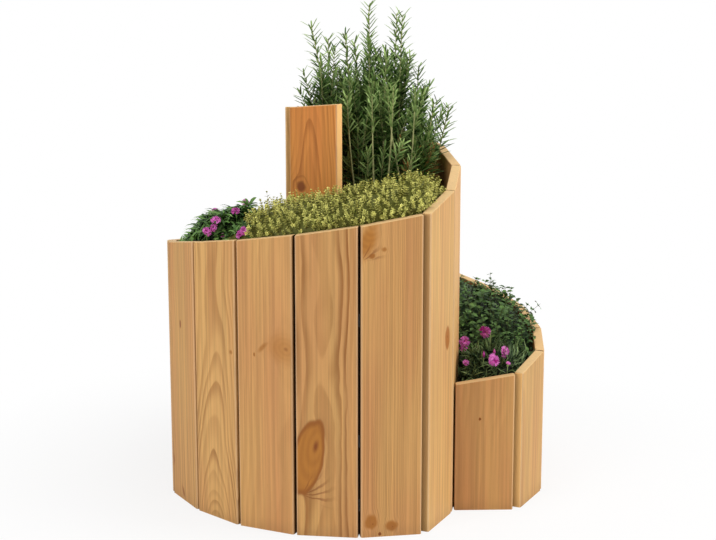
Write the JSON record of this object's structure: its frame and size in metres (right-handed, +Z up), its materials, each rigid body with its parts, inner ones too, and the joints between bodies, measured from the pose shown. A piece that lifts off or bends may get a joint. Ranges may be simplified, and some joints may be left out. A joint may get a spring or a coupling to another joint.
{
  "type": "herb spiral",
  "caption": "Raised herb bed of upright softwood boards set edge to edge along a rising spiral, filled with soil and planted with kitchen herbs.",
  "frame": {"origin": "on the ground, in the middle of the wall's footprint", "axes": "+Z up, -Y towards the front, where the wall turns in behind its low first board; +X to the right seen from the front"},
  "size_m": [0.7996, 0.8134, 1.02],
  "materials": {
    "boards": "planed, lightly oiled softwood",
    "bands": "galvanised strip",
    "screws": "zinc plated",
    "soil": "loose moist garden soil",
    "rosemary": "leathery needles",
    "thyme": "dense small leaves",
    "oregano": "soft oval leaves",
    "pinks": "narrow leaves with small flowers"
  },
  "bodies": {
    "root": {"board_01": "boards", "board_02": "boards", "board_03": "boards", "board_04": "boards", "board_05": "boards", "board_06": "boards", "board_07": "boards", "board_08": "boards", "board_09": "boards", "board_10": "boards", "board_11": "boards", "board_12": "boards", "board_13": "boards", "board_14": "boards", "board_15": "boards", "board_16": "boards", "board_17": "boards", "board_18": "boards", "board_19": "boards", "board_20": "boards", "board_21": "boards", "board_22": "boards", "board_23": "boards", "board_24": "boards", "board_25": "boards", "board_26": "boards", "board_27": "boards", "lower_band": "bands", "lower_band_screws": "screws", "middle_band": "bands", "middle_band_screws": "screws", "upper_band": "bands", "upper_band_screws": "screws", "soil": "soil", "rosemary": "rosemary", "thyme": "thyme", "oregano": "oregano", "left_pinks": "pinks", "right_pinks": "pinks"}
  },
  "joints": []
}
